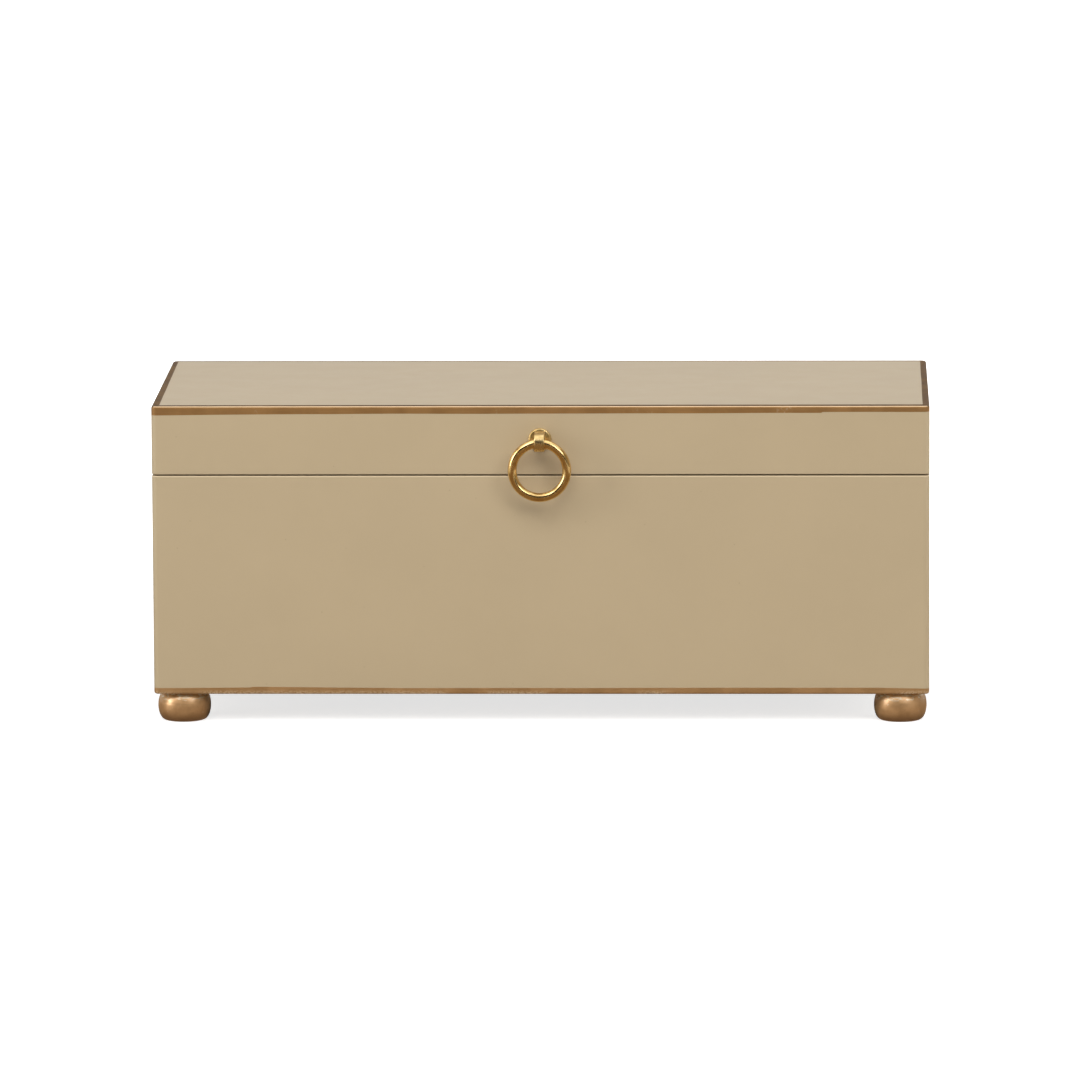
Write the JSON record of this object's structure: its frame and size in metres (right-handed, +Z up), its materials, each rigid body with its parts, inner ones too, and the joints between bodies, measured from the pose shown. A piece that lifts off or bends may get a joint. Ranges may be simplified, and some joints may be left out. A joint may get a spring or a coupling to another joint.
{
  "type": "lidded box",
  "caption": "Low rectangular lacquered keepsake box with a hinged lid, gold edge bands, a brass ring pull and bun feet.",
  "frame": {"origin": "on the surface that the feet stand on, at the middle of the overall width and depth, ring pull included", "axes": "+Z up, +X to the right along the long side, the front with the ring pull faces -Y"},
  "size_m": [0.3556, 0.1662, 0.147],
  "materials": {
    "lacquer": "fibreboard in sand coloured gloss lacquer, with hand painted gold bands on its outer edges",
    "gilt": "turned wood painted satin gold",
    "felt": "short felt",
    "polished_brass": "polished",
    "hinge_brass": "rolled and brushed",
    "zinc_steel": "zinc plated"
  },
  "bodies": {
    "base": {"base_bottom": "lacquer", "base_front": "lacquer", "base_back": "lacquer", "base_left": "lacquer", "base_right": "lacquer", "floor_lining": "felt", "rim_bumpers": "felt", "foot_front_left": "gilt", "foot_front_right": "gilt", "foot_back_left": "gilt", "foot_back_right": "gilt", "foot_screws": "zinc_steel", "left_hinge_base_leaf": "hinge_brass", "right_hinge_base_leaf": "hinge_brass", "left_hinge_pin": "hinge_brass", "right_hinge_pin": "hinge_brass", "base_hinge_screws": "hinge_brass"},
    "lid": {"lid_top": "lacquer", "lid_front": "lacquer", "lid_back": "lacquer", "lid_left": "lacquer", "lid_right": "lacquer", "ring_post": "polished_brass", "post_screw": "zinc_steel", "post_washer": "zinc_steel", "left_hinge_lid_leaf": "hinge_brass", "right_hinge_lid_leaf": "hinge_brass", "lid_hinge_screws": "hinge_brass"},
    "ring": {"pull_ring": "polished_brass"}
  },
  "joints": [
    {"name": "lid_hinge", "type": "hinge", "parent": "base", "child": "lid", "pos_m": [0, 0.08067, 0.1153], "axis": [-1, 0, 0], "range_deg": [0, 95]},
    {"name": "ring_swing", "type": "hinge", "parent": "lid", "child": "ring", "pos_m": [0, -0.07883, 0.1313], "axis": [-1, 0, 0], "range_deg": [-16, 203]}
  ]
}
